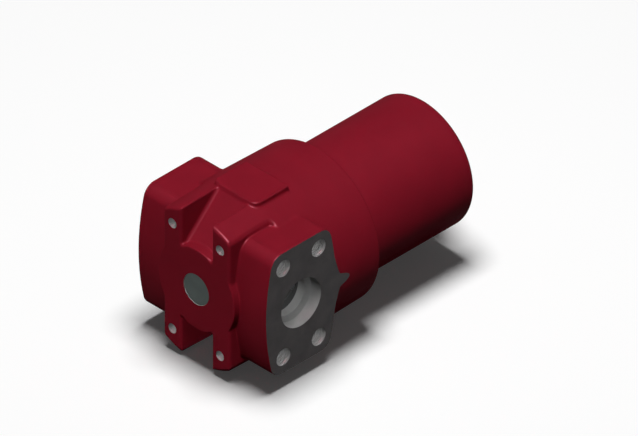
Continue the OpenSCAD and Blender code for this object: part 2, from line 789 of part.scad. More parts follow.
module drain_plug_seal() color(seal_black)
    ring_y(drain_flange_r - 0.5, drain_thread_r + 2 * fit, hex_end, drain_seal_t);

filter_head();
filter_bowl();
indicator_port_plug();
indicator_plug_seal();
element_spigot();
bypass_body();
bypass_poppet();
bypass_spring();
bypass_spring_plate();
bypass_circlip();
bowl_o_ring();
bowl_backup_ring();
drain_plug();
drain_plug_seal();
element_top_cap();
element_bottom_cap();
element_core();
element_pleats();
element_outer_wrap();
element_o_ring();
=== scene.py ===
"""Looks of a hydraulic pressure filter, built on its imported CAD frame.

The cast head, the bowl and the valve's spring are meshes made here, with the roundings, fillets
and threads of real ones. The other pieces keep their CAD shapes and get finishes. Lengths in the
code are millimetres unless a comment says otherwise, and meshes are scaled to metres when they
are made.
"""

import math
from types import SimpleNamespace

import bpy
import numpy as np
from mathutils import Matrix, Vector


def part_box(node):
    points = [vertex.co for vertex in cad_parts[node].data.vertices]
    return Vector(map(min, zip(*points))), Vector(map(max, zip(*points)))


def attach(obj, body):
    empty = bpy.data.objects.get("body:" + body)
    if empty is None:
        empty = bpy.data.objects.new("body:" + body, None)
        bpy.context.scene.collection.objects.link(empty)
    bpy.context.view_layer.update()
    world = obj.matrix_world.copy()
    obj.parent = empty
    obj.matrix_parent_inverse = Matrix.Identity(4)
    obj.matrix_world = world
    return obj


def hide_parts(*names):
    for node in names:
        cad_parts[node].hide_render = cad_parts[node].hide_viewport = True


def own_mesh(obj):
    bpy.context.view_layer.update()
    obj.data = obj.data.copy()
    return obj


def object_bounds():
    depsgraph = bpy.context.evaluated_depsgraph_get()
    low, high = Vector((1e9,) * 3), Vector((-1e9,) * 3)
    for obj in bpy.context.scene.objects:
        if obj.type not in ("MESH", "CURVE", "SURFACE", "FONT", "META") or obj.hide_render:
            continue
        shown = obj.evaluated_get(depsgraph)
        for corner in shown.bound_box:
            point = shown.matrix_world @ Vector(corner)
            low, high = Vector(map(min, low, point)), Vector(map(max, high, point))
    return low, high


bl_info = {
    "name": "Pressure Filter",
    "version": (1, 0, 0),
    "blender": (4, 5, 0),
    "location": "3D View > Sidebar > Filter",
    "description": "Casts, machines and paints a hydraulic pressure filter on its CAD frame",
    "category": "Object",
}

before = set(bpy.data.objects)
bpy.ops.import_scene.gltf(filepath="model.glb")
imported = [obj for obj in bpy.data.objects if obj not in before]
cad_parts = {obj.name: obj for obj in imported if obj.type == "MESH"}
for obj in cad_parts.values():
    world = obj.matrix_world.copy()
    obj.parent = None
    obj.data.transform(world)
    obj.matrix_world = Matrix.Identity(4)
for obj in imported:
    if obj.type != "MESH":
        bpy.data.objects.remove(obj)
cad_low, cad_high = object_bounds()

MM = 0.001

# Sizes that the CAD pieces give
head_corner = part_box("filter_head")[1]
bowl_low, bowl_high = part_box("filter_bowl")
FLANGE_X = round(head_corner.x / MM, 2)
HEAD_LEN = round(head_corner.y / MM, 2)
THREAD_Y = 105.0  # where the thread of head and bowl starts
COLLAR_Y = 148.5  # where the head's collar around the bowl starts
BOWL_END = 287.5  # closed end of the bowl, on which its hexagon stands


# Sizes and colours that a user would change

def length(name, default, description):
    """Property for a length, with its default in millimetres."""
    return bpy.props.FloatProperty(name=name, description=description, default=default * MM,
                                   unit="LENGTH", precision=5)


def angle(name, default, description):
    """Property for an angle, with its default in degrees."""
    return bpy.props.FloatProperty(name=name, description=description, subtype="ANGLE",
                                   default=math.radians(default))


def share(name, default, description):
    """Property for a share of one."""
    return bpy.props.FloatProperty(name=name, description=description, subtype="FACTOR",
                                   default=default, min=0, max=1)


def colour(name, default, description):
    """Property for a colour."""
    return bpy.props.FloatVectorProperty(name=name, description=description, subtype="COLOR",
                                         size=3, default=default, min=0, max=1)


class CastingSizes(bpy.types.PropertyGroup):
    """Shape of the head as it is cast"""
    head_r: length("Head radius", 82.0, "Radius of the round head at its parting plane")
    draft: angle("Draft", 1.5, "Slope of the cast outside")
    port_y: length("Port axis", 51.8, "Distance of the ports from the front face")
    block_half_w: length("Block half width", 41.6, "Half width of the front block")
    boss_r: length("Boss radius", 48.0, "Radius of the round boss on the front")
    flange_half_h: length("Flange half height", 65.5, "Half height of a port flange")
    flange_reach: length("Flange reach", 44.5, "Half depth of a flange in its middle")
    flange_edge_r: length("Flange edge radius", 236.0, "Radius of a flange's long edges")
    flange_corner: length("Flange corner", 14.0, "Rounding of a flange's corners")
    pocket_half_w: length("Pocket half width", 19.2, "Half width of the sloped pockets")
    pocket_z: length("Pocket height", 32.3, "Height of a ramp's plane at the front face")
    pocket_boss_r: length("Pocket boss", 43.0, "Radius of the boss at the foot of the ramps")
    ramp_angle: angle("Ramp angle", 45.1, "Slope of the ramps")
    pad_half_w: length("Pad half width", 27.5, "Half width of the name-plate pad")
    pad_front: length("Pad front", 47.0, "Distance of the pad's front wall from the face")
    pad_len: length("Pad length", 43.0, "Length of the pad")
    pad_top: length("Pad height", 82.6, "Height of the pad's face above the axis")
    pad_corner: length("Pad corner", 7.0, "Rounding of the pad's front corners")
    edge: length("Edge rounding", 3.2, "Rounding of the casting's outer edges")
    rim_edge: length("Rim rounding", 3.0, "Rounding of the head's rear rim")
    pad_edge: length("Pad edge rounding", 1.8, "Rounding of the pad's upper edges")
    pocket_edge: length("Pocket edge rounding", 1.2, "Rounding of the pockets' upper edges")
    step_fillet: length("Step fillet", 3.5, "Fillet where the block meets the round head")
    boss_fillet: length("Boss fillet", 1.0, "Fillet around the front boss")
    boss_edge: length("Boss edge", 0.9, "Rounding of the boss's front edge")
    face_edge: length("Face edge", 1.9, "Rounding of the flanges towards their faces")
    flange_fillet: length("Flange fillet", 1.6, "Fillet around the port flanges")
    rear_fillet: length("Rear fillet", 5.5, "Fillet behind the port flanges")
    pocket_fillet: length("Pocket fillet", 3.4, "Fillet between a ramp and its walls")
    pad_fillet: length("Pad fillet", 1.9, "Fillet at the foot of the pad")
    cell: length("Mesh size", 1.1, "Cell size of the casting's mesh")
    triangles: bpy.props.IntProperty(
        name="Triangles", description="Triangles that the casting is thinned to",
        default=150000, min=20000)


class BoreSizes(bpy.types.PropertyGroup):
    """Holes, ports and chamber that are machined into the head"""
    mount_x: length("Mount width", 60.0, "Distance between the mounting holes, across")
    mount_z: length("Mount height", 115.0, "Distance between the mounting holes, upwards")
    mount_d: length("Mount core", 10.2, "Core diameter of the mounting holes")
    mount_depth: length("Mount depth", 22.0, "Depth of the mounting holes")
    mount_pitch: length("Mount pitch", 1.75, "Thread pitch of the mounting holes")
    bolt_y: length("Bolt width", 44.45, "Distance between a flange's holes, lengthwise")
    bolt_z: length("Bolt height", 96.82, "Distance between a flange's holes, upwards")
    bolt_d: length("Bolt core", 17.5, "Core diameter of the flange holes")
    bolt_depth: length("Bolt depth", 31.0, "Depth of the flange holes")
    bolt_pitch: length("Bolt pitch", 2.5, "Thread pitch of the flange holes")
    port_r: length("Port radius", 25.0, "Radius of a port's mouth")
    port_depth: length("Port depth", 12.4, "Depth of a port's mouth")
    throat_r: length("Throat radius", 20.0, "Radius of the bore behind a port's mouth")
    throat_start: length("Throat start", 15.2, "Depth at which the bore behind it starts")
    # Deeper than this a port takes the dark inside colour, which is painted shade in the bore
    painted_shade_from: length("Bright end", 24.0, "Depth to which a port is left bright")
    inlet_depth: length("Inlet depth", 32.0, "Depth of the port that opens into the chamber")
    outlet_depth: length("Outlet depth", 44.0, "Depth of the port that opens into the neck")
    chamber_y: length("Chamber front", 24.0, "Place where the chamber starts")
    chamber_r: length("Chamber radius", 53.0, "Radius of the chamber")
    chamber_fillet: length("Chamber fillet", 10.0, "Rounding of the chamber's front")
    seal_y: length("Seal bore front", 90.0, "Place where the bore for the seal starts")
    seal_r: length("Seal bore radius", 61.0, "Radius of the bore for the seal")
    seal_end: length("Seal bore end", 103.0, "Place where the bore for the seal ends")
    thread_y: length("Thread start", THREAD_Y, "Place where the bowl's thread starts")
    thread_r: length("Thread radius", 64.05, "Radius of the bore for the bowl's thread")
    thread_end: length("Thread end", 147.5, "Place where the bowl's thread ends")
    collar_y: length("Collar", COLLAR_Y, "Place of the collar around the bowl")
    collar_r: length("Collar radius", 65.5, "Radius inside the collar")
    mouth_edge: length("Mouth chamfer", 1.0, "Chamfer at the head's mouth")


class BowlSizes(bpy.types.PropertyGroup):
    """Shape of the bowl as it is turned"""
    wall_r: length("Wall radius", bowl_high.x / MM, "Outer radius of the bowl")
    rim_y: length("Rim", bowl_low.y / MM, "Place of the bowl's open rim")
    end_y: length("End", BOWL_END, "Place of the bowl's closed end")
    end_edge: length("End rounding", 6.0, "Rounding of the closed end's edge")
    inner_r: length("Inner radius", 52.5, "Radius of the space inside")
    floor_y: length("Floor", 272.0, "Place of the floor inside")
    floor_edge: length("Floor rounding", 10.0, "Rounding between floor and wall inside")
    land_r: length("Land radius", 60.95, "Radius of the land that carries the seal")
    lead_in: length("Lead-in", 1.5, "Chamfer at the rim and before the thread")
    groove_y: length("Groove", 94.3, "Place where the seal's groove starts")
    groove_w: length("Groove width", 5.3, "Width of the seal's groove")
    groove_r: length("Groove radius", 57.4, "Radius at the bottom of the groove")
    thread_y: length("Thread start", THREAD_Y, "Place of the step before the thread")
    thread_r: length("Thread radius", 64.0, "Outer radius of the thread")
    thread_pitch: length("Thread pitch", 3.0, "Distance of the thread's rings")
    relief_y: length("Relief", 143.5, "Place where the thread's relief starts")
    relief_depth: length("Relief depth", 2.0, "Depth of the thread's relief")
    collar_y: length("Collar", COLLAR_Y, "Place of the head's collar around the bowl")
    hex_af: length("Hexagon", 36.0, "Size of the hexagon across its flats")
    hex_h: length("Hexagon height", bowl_high.y / MM - BOWL_END, "Height of the hexagon")
    drain_r: length("Drain radius", 6.65, "Radius of the drain plug's hole")
    drain_depth: length("Drain depth", 12.0, "Depth of the drain plug's hole")
    drain_bore_r: length("Drain bore", 3.0, "Radius of the bore behind the drain plug")


class ValveSizes(bpy.types.PropertyGroup):
    """Spring and stroke of the bypass valve"""
    wire: length("Spring wire", 1.4, "Thickness of the valve spring's wire")
    turns: bpy.props.FloatProperty(
        name="Spring turns", description="Turns of the valve spring", default=5.0, min=2)
    closed: share("Closed turns", 0.75, "Part of a turn that lies closed at each end")
    stroke: length("Stroke", 5.0, "Lift of the poppet")


class Colours(bpy.types.PropertyGroup):
    """Colours of the finishes"""
    paint: colour("Paint", (0.230, 0.0080, 0.0190), "Enamel of head and bowl")
    texture: bpy.props.FloatProperty(
        name="Cast texture", description="Depth of the grain under the enamel", default=1.0,
        min=0)
    flange_face: colour("Flange face", (0.10, 0.10, 0.10), "Blackened faces of the flanges")
    bore: colour("Bores", (0.22, 0.22, 0.218), "Machined holes and ports")
    # Dark as phosphate on cast iron, and also painted shade: the inside gets the key lamp's light
    # without shadow
    phosphate_and_shade: colour("Inside", (0.045, 0.045, 0.045), "Phosphated inside of the head")
    plug: colour("Indicator plug", (0.122, 0.145, 0.137), "Flat plug in the front face")
    zinc: colour("Zinc", (0.50, 0.52, 0.53), "Plated small parts")
    steel: colour("Steel", (0.42, 0.42, 0.43), "Bright steel parts")
    seal: colour("Seals", (0.016, 0.016, 0.017), "Black sealing rings")
    backup: colour("Back-up ring", (0.75, 0.74, 0.70), "White ring beside the bowl's seal")
    medium: colour("Medium", (0.72, 0.70, 0.62), "Pleated filter medium")


class StageSettings(bpy.types.PropertyGroup):
    """Light, floor and view"""
    floor_light: share("Floor light", 0.945, "Light on the floor, as a share of white")
    overhead_h: length("Lamp height", 1800.0, "Height of the floor's lamp")
    overhead_spread: angle("Lamp spread", 22.0, "Angle that the floor's lamp fills")
    key: share("Key light", 0.9, "Light from above, as a share of white")
    soft_share: share("Soft share", 0.8, "Share of the key light that casts no shadow")
    glint: bpy.props.FloatProperty(
        name="Glint", description="Light that shows only in the enamel's gloss, as a share of "
        "white", default=34.0, min=0)
    glint_colour: colour("Glint colour", (1.0, 0.30, 0.40), "Colour of that light")
    fill: share("Fill light", 0.09, "Light from the sides, as a share of white")
    sky: share("Sky", 0.035, "Even light from all around, as a share of white")
    bounce: share("Bounce", 0.05, "Reflectance of the floor towards the object")
    shade: share("Shade", 0.035, "Least light that is left in the shadow on the floor")
    view_width: length("View width", 568.6, "Width that the camera sees")
    view_centre: bpy.props.FloatVectorProperty(
        name="View centre", description="Point in the middle of the view", size=3,
        subtype="TRANSLATION", unit="LENGTH", default=(0.05138, 0.10341, 0.05203))


def in_mm(group):
    """A group's values with its lengths in millimetres, rounded to what Blender's single
    precision holds. Its angles stay in radians."""
    values = {name: getattr(group, name) for name in type(group).__annotations__}
    for name, value in values.items():
        if group.bl_rna.properties[name].unit == "LENGTH":
            values[name] = round(value / MM, 4)
    return SimpleNamespace(**values)


# Fields of distance, from which the casting is shaped

# Places where the casting's roundings change, each from a start to an end
BOSS_REAR = 8  # end of the front boss, behind the port axis
FACE_PROUD = 0.4  # part of a face's rounding that stands beyond the face before milling
BEHIND_PORT = (20, 36)  # from the port axis to the rear
PORT_BAND = (20, 42)  # from the filter's axis up and down
BOSS_SIDE = (-5, -2)  # from the block's side inwards
BOSS_BAND = (22, 27)  # from the filter's axis up and down
POCKET_BAND = (13, 19)  # from a pocket's middle sideways
POCKET_TOP = (49, 53)  # from the filter's axis up and down
PAD_ROOT = 30  # depth of the pad's body


def joined(a, b, r):
    """Union of two fields with a fillet of radius r."""
    u = np.maximum(r - a, 0)
    v = np.maximum(r - b, 0)
    return np.maximum(r, np.minimum(a, b)) - np.hypot(u, v)


def common(a, b, r):
    """Intersection of two fields with its edge rounded to radius r."""
    u = np.maximum(r + a, 0)
    v = np.maximum(r + b, 0)
    return np.minimum(-r, np.maximum(a, b)) + np.hypot(u, v)


def cut(a, b, r):
    """Field a without b, with the edges rounded to radius r."""
    return common(a, -b, r)


def eased(value, start, end):
    """Smooth step from 0 at start to 1 at end."""
    t = np.clip((value - start) / (end - start), 0, 1)
    return t * t * (3 - 2 * t)


def flange_field(y, z, s):
    """Distance to a port flange's outline: curved long edges that run into round corners."""
    y = np.abs(y - s.port_y)
    z = np.abs(z)
    big = s.flange_edge_r
    small = s.flange_corner
    arc_y = s.flange_reach - big
    corner_z = s.flange_half_h - small
    corner_y = math.sqrt((big - small) ** 2 - corner_z ** 2) + arc_y
    curved = np.hypot(y - arc_y, z) - big
    flat = z - s.flange_half_h
    corner = np.hypot(y - corner_y, z - corner_z) - small
    above = (corner_y - arc_y) * z - corner_z * (y - arc_y) > 0
    in_corner = above & (y > corner_y) & (z > corner_z)
    return np.where(in_corner, corner, np.maximum(curved, flat))


def pad_plan_field(x, y, s):
    """Distance to the outline of the name-plate pad, seen from above."""
    half_y = s.pad_len / 2
    mid_y = s.pad_front + half_y
    corner = np.where(y < mid_y, s.pad_corner, s.pad_edge)
    qx = np.abs(x) - (s.pad_half_w - corner)
    qy = np.abs(y - mid_y) - (half_y - corner)
    outside = np.hypot(np.maximum(qx, 0), np.maximum(qy, 0))
    return outside + np.minimum(np.maximum(qx, qy), 0) - corner


def pocket_field(across, y, height, around, s):
    """Distance to the two pockets: a ramp each, with the front boss standing in its foot."""
    ramp = (height - s.pocket_z) * math.cos(s.ramp_angle) - y * math.sin(s.ramp_angle)
    bottom = joined(ramp, around - s.pocket_boss_r, s.boss_fillet)
    return common(across - s.pocket_half_w, -bottom, s.pocket_fillet)


def casting_field(p, s):
    """Signed distance to the rough casting of the head, before it is machined."""
    x, y, z = p
    across = np.abs(x)
    height = np.abs(z)
    around = np.hypot(x, z)
    behind = y - s.port_y
    drum = (around - s.head_r + np.abs(behind) * math.tan(s.draft)) * math.cos(s.draft)
    beside = common(s.block_half_w - across, behind, s.step_fillet)
    block = cut(drum, beside, s.edge)
    boss = np.maximum(around - s.boss_r, behind - BOSS_REAR)
    block = joined(block, boss, s.boss_fillet)
    rough_face = across - FLANGE_X - FACE_PROUD * s.face_edge
    flange = common(flange_field(y, z, s), rough_face, s.face_edge)
    rearward = eased(behind, *BEHIND_PORT) * (1 - eased(height, *PORT_BAND))
    body = joined(block, flange, s.flange_fillet + (s.rear_fillet - s.flange_fillet) * rearward)
    body = cut(body, pocket_field(across, y, height, around, s), s.pocket_edge)

    walls = joined(body, pad_plan_field(x, y, s), s.pad_fillet)
    pad = common(walls, z - s.pad_top, s.pad_edge)
    body = np.minimum(body, np.maximum(pad, s.pad_top - PAD_ROOT - z))

    beside_boss = eased(across - s.block_half_w, *BOSS_SIDE) * (1 - eased(height, *BOSS_BAND))
    in_pocket = (1 - eased(across, *POCKET_BAND)) * (1 - eased(height, *POCKET_TOP))
    crisp = np.maximum(beside_boss, in_pocket)
    body = common(body, -y, s.edge + (s.boss_edge - s.edge) * crisp)
    return common(body, y - HEAD_LEN, s.rim_edge)


def field_gradient(p, s, step=0.02):
    """Value and gradient of the casting's field at points."""
    value = casting_field(p, s)
    slopes = []
    for axis in range(3):
        shift = np.zeros((3, 1))
        shift[axis] = step
        slopes.append((casting_field(p + shift, s) - casting_field(p - shift, s)) / (2 * step))
    return value, np.array(slopes)


def settled(points, s, rounds=4, least=0.25):
    """Points moved onto the casting's surface, by Newton's steps along the gradient, whose
    square is taken as no smaller than the least."""
    for _ in range(rounds):
        value, slope = field_gradient(points, s)
        points = points - slope * value / np.maximum((slope ** 2).sum(0), least)
    return points


def surface_net(field, low, high, cell):
    """Closed mesh of a field's zero surface: one vertex in each cell that the surface crosses."""
    counts = [int(math.ceil((b - a) / cell)) + 1 for a, b in zip(low, high)]
    axes = [a + cell * np.arange(n) for a, n in zip(low, counts)]
    grid = np.array(np.meshgrid(*axes, indexing="ij"))
    values = field(grid.reshape(3, -1)).reshape(counts)
    inside = values < 0

    cells = tuple(n - 1 for n in counts)
    total = np.zeros((3,) + cells)
    crossings = np.zeros(cells, int)
    for axis in range(3):
        first = [slice(None)] * 3
        second = [slice(None)] * 3
        first[axis] = slice(0, -1)
        second[axis] = slice(1, None)
        va, vb = values[tuple(first)], values[tuple(second)]
        crossed = inside[tuple(first)] != inside[tuple(second)]
        part = np.where(crossed, va / np.where(crossed, va - vb, 1), 0)
        others = [k for k in range(3) if k != axis]
        for m in (0, 1):
            for n in (0, 1):
                window = [slice(None)] * 3
                window[others[0]] = slice(m, m + cells[others[0]])
                window[others[1]] = slice(n, n + cells[others[1]])
                here = crossed[tuple(window)]
                crossings += here
                total[axis] += np.where(here, part[tuple(window)], 0)
                total[others[0]] += here * m
                total[others[1]] += here * n

    used = crossings > 0
    index = np.full(cells, -1)
    index[used] = np.arange(used.sum())
    corner = np.array(np.nonzero(used))
    points = (corner + total[:, used] / crossings[used]) * cell + np.array(low)[:, None]

    quads = []
    for axis in range(3):
        first = [slice(1, -1)] * 3
        second = [slice(1, -1)] * 3
        first[axis] = slice(0, -1)
        second[axis] = slice(1, None)
        a, b = inside[tuple(first)], inside[tuple(second)]
        spots = np.array(np.nonzero(a != b))
        outward = a[tuple(spots)]
        others = [(axis + 1) % 3, (axis + 2) % 3]
        spots[others[0]] += 1
        spots[others[1]] += 1
        ring = []
        for m, n in ((1, 1), (0, 1), (0, 0), (1, 0)):
            spot = spots.copy()
            spot[others[0]] -= m
            spot[others[1]] -= n
            ring.append(index[tuple(spot)])
        ring = np.array(ring).T
        ring[~outward] = ring[~outward][:, ::-1]
        quads.append(ring)
    return points, np.concatenate(quads)


# Meshes. Head and bowl carry one finish for each kind of surface, told apart by its number.

# The fourth finish is phosphate, and also painted shade for the chamber, the bowl's inside and the
# deep part of the ports
FINISHES = ("red_enamel", "blackened_face", "bright_bore", "phosphate_and_painted_shade")
PAINT, FACE, BORE, PHOSPHATE_AND_SHADE = range(4)
CREASE = math.radians(28)


def placed(name, data, finishes=()):
    """Object of a mesh or lamp, linked to the scene, with its finishes in order."""
    for finish in finishes:
        data.materials.append(bpy.data.materials[finish])
    obj = bpy.data.objects.new(name, data)
    bpy.context.scene.collection.objects.link(obj)
    return obj


def values_of(items, name, kind=np.int32, width=1):
    """One value of a mesh's vertices, corners or faces as an array, in rows if it is wider."""
    values = np.zeros(len(items) * width, kind)
    items.foreach_get(name, values)
    return values.reshape(-1, width) if width > 1 else values


def mesh_points(mesh):
    """A mesh's vertices as three rows of millimetres."""
    return values_of(mesh.vertices, "co", float, 3).T / MM


def move_points(mesh, points):
    """Puts a mesh's vertices at three rows of millimetres."""
    mesh.vertices.foreach_set("co", (points.T * MM).astype(np.float32).ravel())


def quad_mesh(name, points, quads, finish):
    """Mesh from points, an array of three rows, and four-sided faces."""
    mesh = bpy.data.meshes.new(name)
    mesh.vertices.add(points.shape[1])
    move_points(mesh, points)
    mesh.loops.add(quads.size)
    mesh.loops.foreach_set("vertex_index", quads.astype(np.int32).ravel())
    mesh.polygons.add(len(quads))
    mesh.polygons.foreach_set("loop_start", np.arange(0, quads.size, 4, dtype=np.int32))
    mesh.polygons.foreach_set("material_index", np.full(len(quads), finish, np.int32))
    mesh.update(calc_edges=True)
    mesh.validate()
    return mesh


def tool_of(name, points, faces, marks):
    """Tool from points in metres, faces and the finish of each face."""
    mesh = bpy.data.meshes.new(name)
    mesh.from_pydata(points, [], faces)
    mesh.polygons.foreach_set("material_index", np.array(marks, np.int32))
    mesh.update()
    return placed(name, mesh, FINISHES)


def box_tool(name, low, high, finish):
    """Box-shaped tool between two corners."""
    corners = [Vector((x, y, z)) * MM for x in (low[0], high[0]) for y in (low[1], high[1])
               for z in (low[2], high[2])]
    faces = [(0, 1, 3, 2), (4, 6, 7, 5), (0, 4, 5, 1), (2, 3, 7, 6), (0, 2, 6, 4), (1, 5, 7, 3)]
    return tool_of(name, corners, faces, [finish] * len(faces))


def turned(name, profile, finish, sides=96, origin=(0, 0, 0), axis=(0, 1, 0)):
    """Tool turned about an axis, which is the filter's own unless another is given. The profile
    is a list of distances along the axis and radii, and starts and ends on the axis. The finish
    is one for all or one for each stretch of the profile."""
    turn = Vector((0, 0, 1)).rotation_difference(Vector(axis).normalized()).to_matrix()
    angles = np.arange(sides) * 2 * math.pi / sides
    points = []
    faces = []
    marks = []
    rings = []
    for along, radius in profile:
        start = len(points)
        if radius == 0:
            points.append((0, 0, along))
        else:
            points += [(radius * math.cos(a), radius * math.sin(a), along) for a in angles]
        rings.append(range(start, len(points)))
    for number, (low, high) in enumerate(zip(rings, rings[1:])):
        for k in range(sides):
            m = (k + 1) % sides
            if len(low) == 1:
                faces.append((low[0], high[m], high[k]))
            elif len(high) == 1:
                faces.append((low[k], low[m], high[0]))
            else:
                faces.append((low[k], low[m], high[m], high[k]))
            marks.append(finish[number] if isinstance(finish, list) else finish)
    points = [(Vector(origin) + turn @ Vector(point)) * MM for point in points]
    return tool_of(name, points, faces, marks)


def stepped(*stretches):
    """Profile of a stepped bore from its stretches of start, end and radius."""
    points = [point for start, end, r in stretches for point in ((start, r), (end, r))]
    return [(points[0][0], 0)] + points + [(points[-1][0], 0)]


def rounded(along, radius, r, start, end, steps=12):
    """Points of a profile's round corner about a centre, between two angles from the axis."""
    angles = [math.radians(start + (end - start) * k / steps) for k in range(steps + 1)]
    return [(along + r * math.cos(a), radius + r * math.sin(a)) for a in angles]


def merged(name, parts):
    """One tool from several that don't touch."""
    points = []
    faces = []
    marks = []
    for part in parts:
        base = len(points)
        points += [v.co.copy() for v in part.data.vertices]
        faces += [[base + i for i in f.vertices] for f in part.data.polygons]
        marks += [f.material_index for f in part.data.polygons]
        discard(part)
    return tool_of(name, points, faces, marks)


def discard(obj):
    """Removes a helper object and its mesh."""
    mesh = obj.data
    bpy.data.objects.remove(obj)
    bpy.data.meshes.remove(mesh)


def apply_modifier(obj, modifier):
    """Applies a modifier to its object."""
    with bpy.context.temp_override(object=obj, active_object=obj):
        bpy.ops.object.modifier_apply(modifier=modifier.name)


def machined(obj, tools, operation="DIFFERENCE"):
    """Applies closed tools to a closed object, then removes them."""
    for tool in tools:
        step = obj.modifiers.new("machining", "BOOLEAN")
        step.operation = operation
        step.solver = "MANIFOLD"
        step.object = tool
        apply_modifier(obj, step)
        discard(tool)
    return obj


def thinned(obj, triangles):
    """Collapses a mesh's flat stretches until about this many triangles are left."""
    total = sum(len(f.vertices) - 2 for f in obj.data.polygons)
    if total > triangles:
        step = obj.modifiers.new("thinning", "DECIMATE")
        step.ratio = triangles / total
        apply_modifier(obj, step)


def resettled(mesh, s, most=0.4):
    """Moves a thinned mesh's vertices back onto the casting's surface, by so much at most."""
    before = mesh_points(mesh)
    move = settled(before, s) - before
    distance = np.maximum(np.sqrt((move ** 2).sum(0)), 1e-9)
    move_points(mesh, before + move * np.minimum(1, most / distance))
    mesh.update()


def cast_normals(mesh, s, near=0.05, least_cosine=0.3):
    """Shading normals of the cast faces from the field itself, so that small fillets stay clean:
    where a vertex is near the cast surface and the field's normal agrees with the face's."""
    value, slope = field_gradient(mesh_points(mesh), s)
    slope = (slope / np.maximum(np.sqrt((slope ** 2).sum(0)), 1e-6)).T
    face_of = np.repeat(np.arange(len(mesh.polygons)), values_of(mesh.polygons, "loop_total"))
    vertex_of = values_of(mesh.loops, "vertex_index")
    face_normals = values_of(mesh.polygons, "normal", np.float32, 3)
    painted = values_of(mesh.polygons, "material_index")[face_of] == PAINT
    wanted = slope[vertex_of]
    agree = (wanted * face_normals[face_of]).sum(1) > least_cosine
    wanted[~(painted & agree & (np.abs(value) < near)[vertex_of])] = 0
    mesh.normals_split_custom_set(wanted.tolist())


def sharpen(mesh, crease=CREASE, smooth_finish=None):
    """Smooth shading, sharp where finishes meet and where faces turn by more than the crease,
    apart from faces of a finish that is smooth all over."""
    marks = values_of(mesh.polygons, "material_index")
    normals = values_of(mesh.polygons, "normal", np.float32, 3)
    loops = values_of(mesh.loops, "edge_index")
    owner = np.repeat(np.arange(len(mesh.polygons)), values_of(mesh.polygons, "loop_total"))
    order = np.argsort(loops, kind="stable")
    edges = loops[order]
    faces = owner[order]
    pair = np.nonzero(edges[1:] == edges[:-1])[0]
    a, b = faces[pair], faces[pair + 1]
    cosine = (normals[a] * normals[b]).sum(1)
    limit = np.full(len(pair), math.cos(crease))
    if smooth_finish is not None:
        limit[(marks[a] == smooth_finish) & (marks[b] == smooth_finish)] = -1
    sharp = np.zeros(len(mesh.edges), bool)
    sharp[edges[pair]] = (marks[a] != marks[b]) | (cosine < limit)
    mesh.shade_smooth()
    attribute = mesh.attributes.get("sharp_edge") or mesh.attributes.new(
        "sharp_edge", "BOOLEAN", "EDGE")
    attribute.data.foreach_set("value", sharp)


# Tools that machine the head. They carry the finish of the surface that they cut, and start and
# end clear of the metal.

CLEAR = 4
MILL_X = 120  # how far out the mills for the flange faces reach
MILL_Y = (-20, 180)
MILL_Z = (-110, 110)
DRILL_POINT = math.radians(31)
THREADED = 0.8  # part of a tapped hole's depth that shows a thread

# Hidden bores, as stretches of start, end and radius
NECK_OUTSIDE = ((30, 84, 29),)
NECK_BORES = ((26, 36.5, 15.05), (36.5, 72, 19), (72, 90, 20.05))
INDICATOR_PORT = ((-CLEAR, 7.1, 16), (7.1, 18.1, 10.55))
# Duct across the chamber: where it starts, its radii outside and inside, and its rib
DUCT_X = -60
DUCT_R = 27
OUTLET_X = -58
OUTLET_R = 18
RIB_Y = 15
RIB_HALF_T = 6
# Holes that lead the pressure before and behind the element to the indicator port
SENSING_R = 1.25
SENSING_HOLES = (((5.25, 16, 0), (5.25, 27, 0)), ((-5.25, 17.1, 0), (-32, 35.8, 0)))


def tapped_hole(start, inward, core, depth, pitch):
    """Drill and tap for a threaded hole: the rings of its thread and its point."""
    r = core / 2
    crest = r + 0.3 * pitch
    profile = [(-CLEAR, 0), (-CLEAR, r)]
    along = 0.4 * pitch
    while along + pitch < depth * THREADED:
        profile += [(along, r), (along + 0.44 * pitch, crest), (along + 0.56 * pitch, crest),
                    (along + pitch, r)]
        along += pitch
    profile += [(depth, r), (depth + r * math.tan(DRILL_POINT), 0)]
    return turned("hole", profile, BORE, 48, start, inward)


def head_holes(s, b):
    """Mounting holes, flange holes and ports, in one tool."""
    holes = []
    for x in (-b.mount_x / 2, b.mount_x / 2):
        for z in (-b.mount_z / 2, b.mount_z / 2):
            holes.append(tapped_hole((x, 0, z), (0, 1, 0), b.mount_d, b.mount_depth,
                                     b.mount_pitch))
    for side, reach in ((-1, b.outlet_depth), (1, b.inlet_depth)):
        inward = (-side, 0, 0)
        for y in (-b.bolt_y / 2, b.bolt_y / 2):
            for z in (-b.bolt_z / 2, b.bolt_z / 2):
                holes.append(tapped_hole((side * FLANGE_X, s.port_y + y, z), inward, b.bolt_d,
                                         b.bolt_depth, b.bolt_pitch))
        # Bright bore to a depth, then the dark inside finish as painted shade deeper in
        port = [(-CLEAR, 0), (-CLEAR, b.port_r), (b.port_depth, b.port_r),
                (b.throat_start, b.throat_r), (b.painted_shade_from, b.throat_r), (reach, b.throat_r),
                (reach, 0)]
        holes.append(turned("port", port, [BORE] * 4 + [PHOSPHATE_AND_SHADE] * 2,
                            origin=(side * FLANGE_X, s.port_y, 0), axis=inward))
    return merged("holes", holes)


